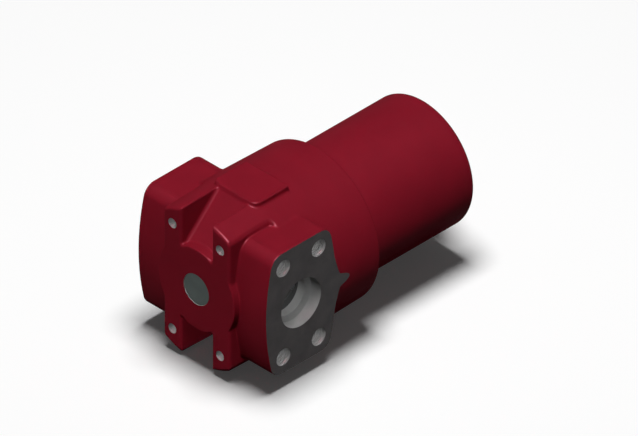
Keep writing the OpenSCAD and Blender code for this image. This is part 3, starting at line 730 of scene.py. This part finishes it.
def chamber_tool(s, b):
    """Chamber, seal bore, thread bore and mouth, less the neck and the duct that stand in it."""
    profile = [(b.chamber_y, 0)]
    profile += rounded(b.chamber_y + b.chamber_fillet, b.chamber_r - b.chamber_fillet,
                       b.chamber_fillet, 180, 90, 8)
    profile += [(b.seal_y, b.chamber_r), (b.seal_y, b.seal_r), (b.seal_end, b.seal_r),
                (b.thread_y, b.thread_r), (b.thread_end, b.thread_r), (b.collar_y, b.collar_r),
                (HEAD_LEN - b.mouth_edge, b.collar_r), (HEAD_LEN, b.collar_r + b.mouth_edge),
                (HEAD_LEN + CLEAR, b.collar_r + b.mouth_edge), (HEAD_LEN + CLEAR, 0)]
    # The chamber wears the dark inside finish: phosphate, and painted shade
    chamber = turned("chamber", profile, PHOSPHATE_AND_SHADE, 128)
    neck = turned("neck", stepped(*NECK_OUTSIDE), PHOSPHATE_AND_SHADE)
    duct = turned("duct", stepped((0, -DUCT_X, DUCT_R)), PHOSPHATE_AND_SHADE, origin=(DUCT_X, s.port_y, 0),
                  axis=(1, 0, 0))
    rib = box_tool("rib", (DUCT_X, RIB_Y, -RIB_HALF_T), (0, s.port_y, RIB_HALF_T), PHOSPHATE_AND_SHADE)
    return machined(chamber, [neck, duct, rib])


def head_tools(s, b):
    """All the tools that machine the head, in the order of use."""
    tools = [box_tool("face_mill", *zip(stretch, MILL_Y, MILL_Z), FACE)
             for stretch in ((FLANGE_X, MILL_X), (-MILL_X, -FLANGE_X))]
    tools += [head_holes(s, b), chamber_tool(s, b),
              turned("neck_bores", stepped(*NECK_BORES), BORE),
              turned("outlet", stepped((0, -OUTLET_X, OUTLET_R)), PHOSPHATE_AND_SHADE,
                     origin=(OUTLET_X, s.port_y, 0), axis=(1, 0, 0)),
              turned("indicator_port", stepped(*INDICATOR_PORT), BORE)]
    for start, end in SENSING_HOLES:
        reach = Vector(end) - Vector(start)
        tools.append(turned("sensing_hole", stepped((0, reach.length, SENSING_R)), BORE, 24,
                            start, reach))
    return tools


# Finishes

class Nodes:
    """Short way to write a material's nodes."""

    def __init__(self, name):
        self.material = bpy.data.materials.new(name)
        self.material.use_nodes = True
        self.tree = self.material.node_tree
        self.tree.nodes.clear()
        self.output = self.add("ShaderNodeOutputMaterial")
        self.shader = self.add("ShaderNodeBsdfPrincipled")
        self.link(self.shader, "BSDF", self.output, "Surface")
        self.place = self.add("ShaderNodeTexCoord")

    def add(self, kind, **settings):
        """Node of a kind, with values for its sockets or for its own settings."""
        node = self.tree.nodes.new(kind)
        for key, value in settings.items():
            if key in node.inputs:
                node.inputs[key].default_value = value
            else:
                setattr(node, key, value)
        return node

    def link(self, a, out, b, into):
        """Joins an output of one node to an input of another."""
        self.tree.links.new(a.outputs[out], b.inputs[into])

    def noise(self, scale, detail=2.0, rough=0.5, stretch=None):
        """Noise fixed to the piece, drawn out along its axes if it is stretched."""
        node = self.add("ShaderNodeTexNoise", Scale=scale, Detail=detail, Roughness=rough)
        source, out = self.place, "Object"
        if stretch:
            mapping = self.add("ShaderNodeMapping", Scale=stretch)
            self.link(source, out, mapping, "Vector")
            source, out = mapping, "Vector"
        self.link(source, out, node, "Vector")
        return node

    def ranged(self, source, low, high, start=0.3, end=0.7):
        """A noise's middle range, from start to end, spread from low to high."""
        node = self.add("ShaderNodeMapRange")
        for key, value in (("From Min", start), ("From Max", end), ("To Min", low),
                           ("To Max", high)):
            node.inputs[key].default_value = value
        self.link(source, "Fac", node, "Value")
        return node

    def coloured(self, source, colour, darkest, lightest):
        """Base colour that a noise varies between two shares of the colour."""
        node = self.add("ShaderNodeMix", data_type="RGBA")
        node.inputs[6].default_value = tinted(colour, darkest)
        node.inputs[7].default_value = tinted(colour, lightest)
        self.link(self.ranged(source, 0, 1), "Result", node, 0)
        self.link(node, 2, self.shader, "Base Color")

    def roughened(self, source, low, high):
        """Roughness that a noise varies between two values."""
        self.link(self.ranged(source, low, high), "Result", self.shader, "Roughness")

    def bumped(self, *sources):
        """Chain of bumps from pairs of a noise and its height in metres."""
        last = None
        for source, height in sources:
            bump = self.add("ShaderNodeBump", Strength=1.0, Distance=height)
            self.link(source, "Fac", bump, "Height")
            if last:
                self.link(last, "Normal", bump, "Normal")
            last = bump
        self.link(last, "Normal", self.shader, "Normal")

    def gloss(self, **settings):
        """Values on the shader's own sockets."""
        for key, value in settings.items():
            self.shader.inputs[key.replace("_", " ")].default_value = value


def tinted(colour, factor):
    """Colour made lighter or darker by a factor, with an alpha of one."""
    return tuple(min(1.0, c * factor) for c in colour[:3]) + (1.0,)


def paint_finish(name, colour, texture):
    """Sprayed enamel over a casting: faint cast grain and slight variation of the film."""
    n = Nodes(name)
    n.gloss(Specular_IOR_Level=0.0, Coat_Weight=0.045, Coat_Roughness=0.40)
    n.coloured(n.noise(26, 3), colour, 0.94, 1.05)
    n.roughened(n.noise(140, 2), 0.35, 0.45)
    grain = n.noise(900, 3, 0.55)
    swell = n.noise(120, 2)
    n.bumped((swell, texture * 0.00012), (grain, texture * 0.00004))
    return n.material


def machined_finish(name, colour, metal, rough, lay, shine=0.5):
    """Cut metal with fine marks of the tool along one direction."""
    n = Nodes(name)
    n.gloss(Metallic=metal, Specular_IOR_Level=shine)
    n.coloured(n.noise(60, 3), colour, 0.9, 1.12)
    marks = n.noise(260, 3, 0.6, stretch=lay)
    n.roughened(marks, rough - 0.05, rough + 0.07)
    n.bumped((marks, 0.00003))
    return n.material


def rubber_finish(name, colour):
    """Elastomer, slightly mottled."""
    n = Nodes(name)
    speck = n.noise(700, 2)
    n.coloured(speck, colour, 0.8, 1.3)
    n.roughened(speck, 0.5, 0.65)
    n.bumped((speck, 0.00002))
    return n.material


def fibre_finish(name, colour):
    """Filter medium: a felt of fine fibres, off-white."""
    n = Nodes(name)
    n.gloss(Roughness=0.9)
    n.coloured(n.noise(80, 2), colour, 0.9, 1.05)
    n.bumped((n.noise(1500, 4, 0.7), 0.00015))
    return n.material


def wear(obj, material):
    """Gives a CAD node's object one finish in all its slots."""
    for slot in obj.material_slots:
        slot.material = material
    if not obj.material_slots:
        obj.data.materials.append(material)


# The pieces

SEARCH_X = 86  # half width and half height of the space searched for the casting's surface
SEARCH_MARGIN = 3  # how far that space reaches beyond the head's two ends
LEAST_FACES = 1000  # a mesh with fewer faces has been lost in machining


class FILTER_OT_head(bpy.types.Operator):
    """Casts and machines the head"""
    bl_idname = "filter_parts.head"
    bl_label = "Build head"

    def execute(self, context):
        s = in_mm(context.scene.filter_casting)
        c = context.scene.filter_colours
        paint_finish("red_enamel", c.paint, c.texture)
        machined_finish("blackened_face", c.flange_face, 0.0, 0.5, (1, 12, 1), 0.04)
        machined_finish("bright_bore", c.bore, 0.0, 0.42, (8, 8, 1), 0.04)
        # Phosphate, and painted shade inside head and bowl, which the shadowless key lamp would
        # otherwise light
        machined_finish("phosphate_and_painted_shade", c.phosphate_and_shade, 0.0, 0.6, (1, 1, 1), 0.04)
        low = (-SEARCH_X, -SEARCH_MARGIN, -SEARCH_X)
        high = (SEARCH_X, HEAD_LEN + SEARCH_MARGIN, SEARCH_X)
        points, quads = surface_net(lambda p: casting_field(p, s), low, high, s.cell)
        mesh = quad_mesh("cast_head", settled(points, s), quads, PAINT)
        head = placed("cast_head", mesh, FINISHES)
        thinned(head, s.triangles)
        resettled(head.data, s)
        machined(head, head_tools(s, in_mm(context.scene.filter_bores)))
        sharpen(head.data, smooth_finish=PAINT)
        cast_normals(head.data, s)
        if len(head.data.polygons) < LEAST_FACES:
            raise RuntimeError("the head's mesh came out empty")
        bpy.data.collections["enamelled"].objects.link(head)
        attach(head, "head")
        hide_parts("filter_head")
        return {"FINISHED"}


class FILTER_OT_bowl(bpy.types.Operator):
    """Turns the bowl with its thread, its seal groove and its hexagon"""
    bl_idname = "filter_parts.bowl"
    bl_label = "Build bowl"

    def execute(self, context):
        s = in_mm(context.scene.filter_bowl)
        top = s.end_y + s.hex_h
        cut_part = self.cut_part(s)
        painted = self.painted_part(s)
        finish = [BORE] * (len(cut_part) - 1) + [PAINT] * len(painted)
        bowl = turned("turned_bowl", cut_part + painted, finish, 160)
        space = [(s.rim_y - CLEAR, 0), (s.rim_y - CLEAR, s.inner_r)]
        space += rounded(s.floor_y - s.floor_edge, s.inner_r - s.floor_edge, s.floor_edge, 90, 0)
        drain = stepped((s.floor_y - CLEAR, top - s.drain_depth, s.drain_bore_r),
                        (top - s.drain_depth, top + CLEAR, s.drain_r))
        machined(bowl, [self.hexagon(s, top)], "UNION")
        # The bowl's inside takes the dark inside finish, partly painted shade
        machined(bowl, [turned("element_space", space + [(s.floor_y, 0)], PHOSPHATE_AND_SHADE, 128),
                        turned("drain_hole", drain, BORE, 48)])
        sharpen(bowl.data)
        if len(bowl.data.polygons) < LEAST_FACES:
            raise RuntimeError("the bowl's mesh came out empty")
        bpy.data.collections["enamelled"].objects.link(bowl)
        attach(bowl, "bowl")
        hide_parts("filter_bowl")
        return {"FINISHED"}

    def cut_part(self, s):
        """Profile of the bare part inside the head: land, groove, rings of the thread, relief."""
        groove_end = s.groove_y + s.groove_w
        profile = [(s.rim_y, 0), (s.rim_y, s.land_r - s.lead_in),
                   (s.rim_y + 2 * s.lead_in, s.land_r), (s.groove_y, s.land_r),
                   (s.groove_y, s.groove_r), (groove_end, s.groove_r), (groove_end, s.land_r),
                   (s.thread_y - 2, s.land_r), (s.thread_y + 1, s.thread_r - s.lead_in)]
        pitch = s.thread_pitch
        root_r = s.thread_r - 0.6 * pitch
        along = s.thread_y + 1 + s.lead_in
        while along + pitch < s.relief_y:
            profile += [(along, s.thread_r), (along + 0.15 * pitch, s.thread_r),
                        (along + 0.55 * pitch, root_r), (along + 0.6 * pitch, root_r)]
            along += pitch
        relief_r = s.thread_r - s.relief_depth
        return profile + [(along, s.thread_r), (s.relief_y, s.thread_r),
                          (s.relief_y + s.relief_depth, relief_r), (s.collar_y + 1, relief_r)]

    def painted_part(self, s):
        """Profile of the painted wall and end."""
        edge = rounded(s.end_y - s.end_edge, s.wall_r - s.end_edge, s.end_edge, 90, 0)
        return [(s.collar_y + 2, s.wall_r)] + edge + [(s.end_y, 0)]

    def hexagon(self, s, top):
        """Hexagon for the spanner, with the corners of its end turned off."""
        slope = math.radians(30)
        corner = s.hex_af / 2 / math.cos(slope)
        root_y = s.end_y - CLEAR
        hexagon = turned("hexagon", stepped((root_y, top, corner)), PAINT, 6)
        outer_r = corner + 1
        turned_r = 0.47 * s.hex_af
        cone_h = (outer_r - turned_r) * math.tan(slope)
        cone = turned("turned_end", [(root_y - 1, 0), (root_y - 1, outer_r),
                                     (top - cone_h, outer_r), (top, turned_r), (top, 0)], PAINT)
        return machined(hexagon, [cone], "INTERSECT")


class FILTER_OT_small_parts(bpy.types.Operator):
    """Finishes the plugs, the seals, the valve and the element"""
    bl_idname = "filter_parts.small_parts"
    bl_label = "Finish small parts"

    def execute(self, context):
        c = context.scene.filter_colours
        zinc = machined_finish("zinc_plate", c.zinc, 0.9, 0.38, (1, 1, 1))
        steel = machined_finish("bright_steel", c.steel, 0.9, 0.33, (1, 1, 1))
        plug = machined_finish("plug_face", c.plug, 0.0, 0.5, (1, 1, 1), 0.06)
        finishes = (
            (plug, ("indicator_port_plug",)),
            (zinc, ("element_spigot", "bypass_body", "bypass_spring_plate", "drain_plug",
                    "element_top_cap", "element_bottom_cap")),
            (steel, ("bypass_poppet", "bypass_circlip", "element_core", "element_outer_wrap")),
            (rubber_finish("black_seal", c.seal), (
                "indicator_plug_seal", "bowl_o_ring", "drain_plug_seal", "element_o_ring")),
            (rubber_finish("white_ring", c.backup), ("bowl_backup_ring",)),
            (fibre_finish("pleated_medium", c.medium), ("element_pleats",)),
        )
        for material, names in finishes:
            for name in names:
                wear(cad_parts[name], material)
        return {"FINISHED"}


class FILTER_OT_spring(bpy.types.Operator):
    """Coils the valve's spring."""
    bl_idname = "filter_parts.spring"
    bl_label = "Coil spring"

    def execute(self, context):
        s = in_mm(context.scene.filter_valve)
        low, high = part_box("bypass_spring")
        spring = placed("coiled_spring", self.coil(s, low / MM, high / MM), ("bright_steel",))
        sharpen(spring.data, math.radians(40))
        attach(spring, "head")
        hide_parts("bypass_spring")
        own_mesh(spring)
        return {"FINISHED"}

    def coil(self, s, low, high, steps=48, sides=16):
        """Wire coiled between two heights, with closed ends."""
        wire_r = s.wire / 2
        coil_r = high.x - wire_r
        open_turns = s.turns - 2 * s.closed
        pitch = (high.y - low.y - s.wire - 2 * s.closed * s.wire) / open_turns
        rings = int(s.turns * steps) + 1
        turn = np.linspace(0, s.turns, rings)
        opened = np.clip(turn - s.closed, 0, open_turns)
        height = opened * pitch + (turn - opened) * s.wire + low.y + wire_r
        a = (turn * 2 * math.pi)[:, None]
        b = (np.arange(sides) * 2 * math.pi / sides)[None, :]
        r = coil_r + wire_r * np.cos(b)
        points = np.array([r * np.cos(a), height[:, None] + wire_r * np.sin(b) + 0 * a,
                           r * np.sin(a)]).reshape(3, -1)
        faces = [(i * sides + k, i * sides + (k + 1) % sides, (i + 1) * sides + (k + 1) % sides,
                  (i + 1) * sides + k) for i in range(rings - 1) for k in range(sides)]
        faces.append(tuple(range(sides))[::-1])
        faces.append(tuple(range((rings - 1) * sides, rings * sides)))
        mesh = bpy.data.meshes.new("coiled_spring")
        mesh.from_pydata((points.T * MM).tolist(), [], faces)
        return mesh


# The stage, in metres

OUTSIDE = ("indicator_port_plug", "drain_plug")  # the CAD pieces that show from outside
WHITE = (1, 1, 1, 1)

# Directions from the object to its lights and to the camera
KEY_FROM = (0.21, -0.30, 0.93)
LEFT_FROM = (-0.85, -0.3, 0.0)
REAR_FROM = (0.1, 0.95, 0.2)
VIEW_FROM = (1, -1, 1)


class FILTER_OT_stage(bpy.types.Operator):
    """Sets up floor, lights and camera"""
    bl_idname = "filter_parts.stage"
    bl_label = "Set stage"

    def execute(self, context):
        s = context.scene.filter_stage
        floor = self.floor(s)
        only_floor = bpy.data.collections.new("floor_only")
        only_floor.objects.link(floor)
        self.overhead(s).light_linking.receiver_collection = only_floor
        not_floor = self.left_out("not_the_floor", [floor])
        inside = [piece for node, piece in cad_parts.items() if node not in OUTSIDE]
        for name, towards, strength, spread, lit in (
                ("key", KEY_FROM, s.key * s.soft_share, 10,
                 self.left_out("not_inside", [floor] + inside)),
                ("shading_key", KEY_FROM, s.key * (1 - s.soft_share), 10, not_floor),
                ("left_fill", LEFT_FROM, s.fill / 2, 40, not_floor),
                ("rear_fill", REAR_FROM, s.fill, 40, not_floor),
                ("glint", KEY_FROM, s.glint, 8, bpy.data.collections.new("enamelled"))):
            self.lamp(name, towards, strength, spread).light_linking.receiver_collection = lit
        bpy.data.objects["key"].light_linking.blocker_collection = only_floor
        glint = bpy.data.objects["glint"]
        glint.visible_diffuse = False
        glint.data.color = s.glint_colour
        glint.data.cycles.max_bounces = 0
        context.scene.world = self.world(s)
        context.scene.camera = self.camera(s)
        context.scene.view_settings.view_transform = "Standard"
        return {"FINISHED"}

    def floor(self, s, reach=6.0, gap=0.0001):
        """Square floor, a gap below the object."""
        mesh = bpy.data.meshes.new("floor")
        mesh.from_pydata([(-reach, -reach, 0), (reach, -reach, 0), (reach, reach, 0),
                          (-reach, reach, 0)], [], [(0, 1, 2, 3)])
        mesh.materials.append(self.floor_finish(s))
        floor = placed("floor", mesh)
        floor.location.z = cad_low.z - gap
        return floor

    def floor_finish(self, s):
        """White to the camera and to gloss, with a least light in the shadow, and dark to the
        light that would bounce onto the object."""
        n = Nodes("white_floor")
        seen = self.seen(n.tree)
        shade = n.add("ShaderNodeMix", data_type="RGBA")
        shade.inputs[6].default_value = (s.bounce, s.bounce, s.bounce, 1)
        shade.inputs[7].default_value = WHITE
        n.tree.links.new(seen, shade.inputs[0])
        n.link(shade, 2, n.shader, "Base Color")
        least = n.add("ShaderNodeMapRange")
        least.inputs["To Max"].default_value = s.shade
        n.tree.links.new(seen, least.inputs["Value"])
        n.link(least, "Result", n.shader, "Emission Strength")
        n.gloss(Roughness=1.0, Specular_IOR_Level=0.0, Emission_Color=WHITE)
        return n.material

    def seen(self, tree):
        """Factor of 1 on rays from the camera, mirrored and refracted ones too, and 0 on others."""
        path = tree.nodes.new("ShaderNodeLightPath")
        last = path.outputs["Is Camera Ray"]
        for ray in ("Is Glossy Ray", "Is Transmission Ray"):
            either = tree.nodes.new("ShaderNodeMath")
            either.operation = "MAXIMUM"
            tree.links.new(last, either.inputs[0])
            tree.links.new(path.outputs[ray], either.inputs[1])
            last = either.outputs["Value"]
        return last

    def left_out(self, name, objects):
        """Collection that keeps a lamp's light off these objects."""
        group = bpy.data.collections.new(name)
        for number, obj in enumerate(objects):
            group.objects.link(obj)
            group.collection_objects[number].light_linking.link_state = "EXCLUDE"
        return group

    def lamp(self, name, towards, strength, spread):
        """Far lamp in a direction, with its strength as a share of white and its spread in
        degrees."""
        data = bpy.data.lights.new(name, "SUN")
        data.energy = strength * math.pi
        data.angle = math.radians(spread)
        lamp = placed(name, data)
        lamp.rotation_mode = "QUATERNION"
        lamp.rotation_quaternion = Vector(towards).to_track_quat("Z", "Y")
        lamp.location = Vector(towards).normalized() * 2
        return lamp

    def overhead(self, s):
        """Round lamp above the object's middle, which lights the floor as much far off as near."""
        data = bpy.data.lights.new("overhead", "POINT")
        data.shadow_soft_size = s.overhead_h * math.tan(s.overhead_spread / 2)
        data.energy = 4 * math.pi ** 2 * s.floor_light  # a share of white at constant falloff
        data.use_nodes = True
        tree = data.node_tree
        falloff = tree.nodes.new("ShaderNodeLightFalloff")
        falloff.inputs["Strength"].default_value = 1.0
        tree.links.new(falloff.outputs["Constant"], tree.nodes["Emission"].inputs["Strength"])
        lamp = placed("overhead", data)
        middle = (cad_low + cad_high) / 2
        lamp.location = (middle.x, middle.y, cad_low.z + s.overhead_h)
        return lamp

    def world(self, s):
        """White to the camera and to gloss, and a faint even light to the rest."""
        world = bpy.data.worlds.new("studio")
        world.use_nodes = True
        tree = world.node_tree
        tree.nodes.clear()
        output = tree.nodes.new("ShaderNodeOutputWorld")
        glow = tree.nodes.new("ShaderNodeBackground")
        level = tree.nodes.new("ShaderNodeMapRange")
        level.inputs["To Min"].default_value = s.sky
        level.inputs["To Max"].default_value = 1.0
        tree.links.new(self.seen(tree), level.inputs["Value"])
        tree.links.new(level.outputs["Result"], glow.inputs["Strength"])
        tree.links.new(glow.outputs["Background"], output.inputs["Surface"])
        return world

    def camera(self, s):
        """Camera without perspective that looks from the front, the right and above alike."""
        data = bpy.data.cameras.new("camera")
        data.type = "ORTHO"
        data.ortho_scale = s.view_width
        data.clip_end = 20
        camera = placed("camera", data)
        back = Vector(VIEW_FROM).normalized()
        right = Vector((1, 1, 0)).normalized()
        turn = Matrix((right, back.cross(right), back)).transposed().to_4x4()
        camera.matrix_world = Matrix.Translation(Vector(s.view_centre) + back * 2) @ turn
        return camera


STEPS = (FILTER_OT_stage, FILTER_OT_head, FILTER_OT_bowl, FILTER_OT_small_parts,
         FILTER_OT_spring)
GROUPS = {
    "filter_casting": CastingSizes,
    "filter_bores": BoreSizes,
    "filter_bowl": BowlSizes,
    "filter_valve": ValveSizes,
    "filter_colours": Colours,
    "filter_stage": StageSettings,
}


class FILTER_PT_panel(bpy.types.Panel):
    """Lists the steps that build the filter, and its sizes and colours"""
    bl_idname = "FILTER_PT_panel"
    bl_label = "Pressure filter"
    bl_space_type = "VIEW_3D"
    bl_region_type = "UI"
    bl_category = "Filter"

    def draw(self, context):
        for operator in STEPS:
            self.layout.operator(operator.bl_idname)
        for key, group in GROUPS.items():
            box = self.layout.box()
            for name in group.__annotations__:
                box.prop(getattr(context.scene, key), name)


CLASSES = tuple(GROUPS.values()) + STEPS + (FILTER_PT_panel,)


def register():
    for kind in CLASSES:
        bpy.utils.register_class(kind)
    for key, group in GROUPS.items():
        setattr(bpy.types.Scene, key, bpy.props.PointerProperty(type=group))


def unregister():
    for key in GROUPS:
        delattr(bpy.types.Scene, key)
    for kind in reversed(CLASSES):
        bpy.utils.unregister_class(kind)


def main():
    """Runs every step in order."""
    register()
    for operator in STEPS:
        space, name = operator.bl_idname.split(".")
        getattr(getattr(bpy.ops, space), name)()


if __name__ == "__main__":
    main()
